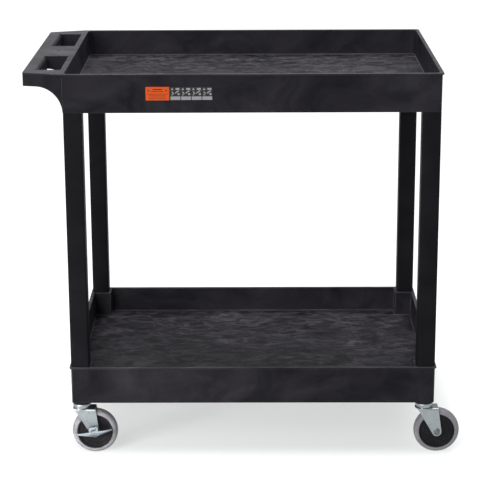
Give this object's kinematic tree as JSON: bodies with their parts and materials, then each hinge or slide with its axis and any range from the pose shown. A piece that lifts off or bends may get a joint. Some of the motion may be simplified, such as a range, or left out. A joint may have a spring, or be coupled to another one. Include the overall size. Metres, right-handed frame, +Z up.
{
  "type": "food service trolley",
  "caption": "Wheeled service trolley: upper and lower moulded tubs on square legs, a push handle with hand holes, swivel casters, and rocker brakes at the handle end.",
  "frame": {"origin": "on the floor, below the middle of the whole trolley, with its casters turned as modelled", "axes": "+X along the tubs from the handle end to the far end, +Y across them from the label side, +Z up"},
  "size_m": [0.9508, 0.6206, 0.863],
  "materials": {
    "moulding": "satin moulded plastic with faint flow marks",
    "label": "printed sticker",
    "zinc": "bright zinc plate",
    "steel": "plain plated steel",
    "hub": "moulded plastic",
    "tyre": "smooth grey rubber"
  },
  "bodies": {
    "cart": {"upper_tub": "moulding", "lower_tub": "moulding", "label_plate": "label", "leg_front_left": "moulding", "swivel_head_front_left": "zinc", "leg_front_right": "moulding", "swivel_head_front_right": "zinc", "leg_rear_left": "moulding", "swivel_head_rear_left": "zinc", "leg_rear_right": "moulding", "swivel_head_rear_right": "zinc"},
    "swivel_front_left": {"fork_front_left": "zinc", "lower_race_front_left": "zinc", "ball_ring_front_left": "steel", "axle_sleeve_front_left": "steel", "axle_bolt_front_left": "steel", "axle_nut_front_left": "steel", "brake_cam_front_left": "steel"},
    "wheel_front_left": {"tyre_front_left": "tyre", "hub_front_left": "hub"},
    "pedal_front_left": {"brake_pedal_front_left": "zinc"},
    "swivel_front_right": {"fork_front_right": "zinc", "lower_race_front_right": "zinc", "ball_ring_front_right": "steel", "axle_sleeve_front_right": "steel", "axle_bolt_front_right": "steel", "axle_nut_front_right": "steel"},
    "wheel_front_right": {"tyre_front_right": "tyre", "hub_front_right": "hub"},
    "swivel_rear_left": {"fork_rear_left": "zinc", "lower_race_rear_left": "zinc", "ball_ring_rear_left": "steel", "axle_sleeve_rear_left": "steel", "axle_bolt_rear_left": "steel", "axle_nut_rear_left": "steel", "brake_cam_rear_left": "steel"},
    "wheel_rear_left": {"tyre_rear_left": "tyre", "hub_rear_left": "hub"},
    "pedal_rear_left": {"brake_pedal_rear_left": "zinc"},
    "swivel_rear_right": {"fork_rear_right": "zinc", "lower_race_rear_right": "zinc", "ball_ring_rear_right": "steel", "axle_sleeve_rear_right": "steel", "axle_bolt_rear_right": "steel", "axle_nut_rear_right": "steel"},
    "wheel_rear_right": {"tyre_rear_right": "tyre", "hub_rear_right": "hub"}
  },
  "joints": [
    {"name": "swivel_front_left_turn", "type": "hinge", "parent": "cart", "child": "swivel_front_left", "pos_m": [-0.369, -0.27065, 0.111], "axis": [0, 0, 1], "continuous": true},
    {"name": "wheel_front_left_spin", "type": "hinge", "parent": "swivel_front_left", "child": "wheel_front_left", "pos_m": [-0.3406, -0.27065, 0.0508], "axis": [0, 1, 0], "continuous": true},
    {"name": "brake_front_left_rock", "type": "hinge", "parent": "swivel_front_left", "child": "pedal_front_left", "pos_m": [-0.3406, -0.27065, 0.0508], "axis": [0, 1, 0], "range_deg": [0, 17.2]},
    {"name": "swivel_front_right_turn", "type": "hinge", "parent": "cart", "child": "swivel_front_right", "pos_m": [0.3962, -0.27065, 0.111], "axis": [0, 0, 1], "continuous": true},
    {"name": "wheel_front_right_spin", "type": "hinge", "parent": "swivel_front_right", "child": "wheel_front_right", "pos_m": [0.4246, -0.27065, 0.0508], "axis": [0, 1, 0], "continuous": true},
    {"name": "swivel_rear_left_turn", "type": "hinge", "parent": "cart", "child": "swivel_rear_left", "pos_m": [-0.369, 0.28355, 0.111], "axis": [0, 0, 1], "continuous": true},
    {"name": "wheel_rear_left_spin", "type": "hinge", "parent": "swivel_rear_left", "child": "wheel_rear_left", "pos_m": [-0.3406, 0.28355, 0.0508], "axis": [0, 1, 0], "continuous": true},
    {"name": "brake_rear_left_rock", "type": "hinge", "parent": "swivel_rear_left", "child": "pedal_rear_left", "pos_m": [-0.3406, 0.28355, 0.0508], "axis": [0, 1, 0], "range_deg": [0, 17.2]},
    {"name": "swivel_rear_right_turn", "type": "hinge", "parent": "cart", "child": "swivel_rear_right", "pos_m": [0.3962, 0.28355, 0.111], "axis": [0, 0, 1], "continuous": true},
    {"name": "wheel_rear_right_spin", "type": "hinge", "parent": "swivel_rear_right", "child": "wheel_rear_right", "pos_m": [0.4246, 0.28355, 0.0508], "axis": [0, 1, 0], "continuous": true}
  ]
}
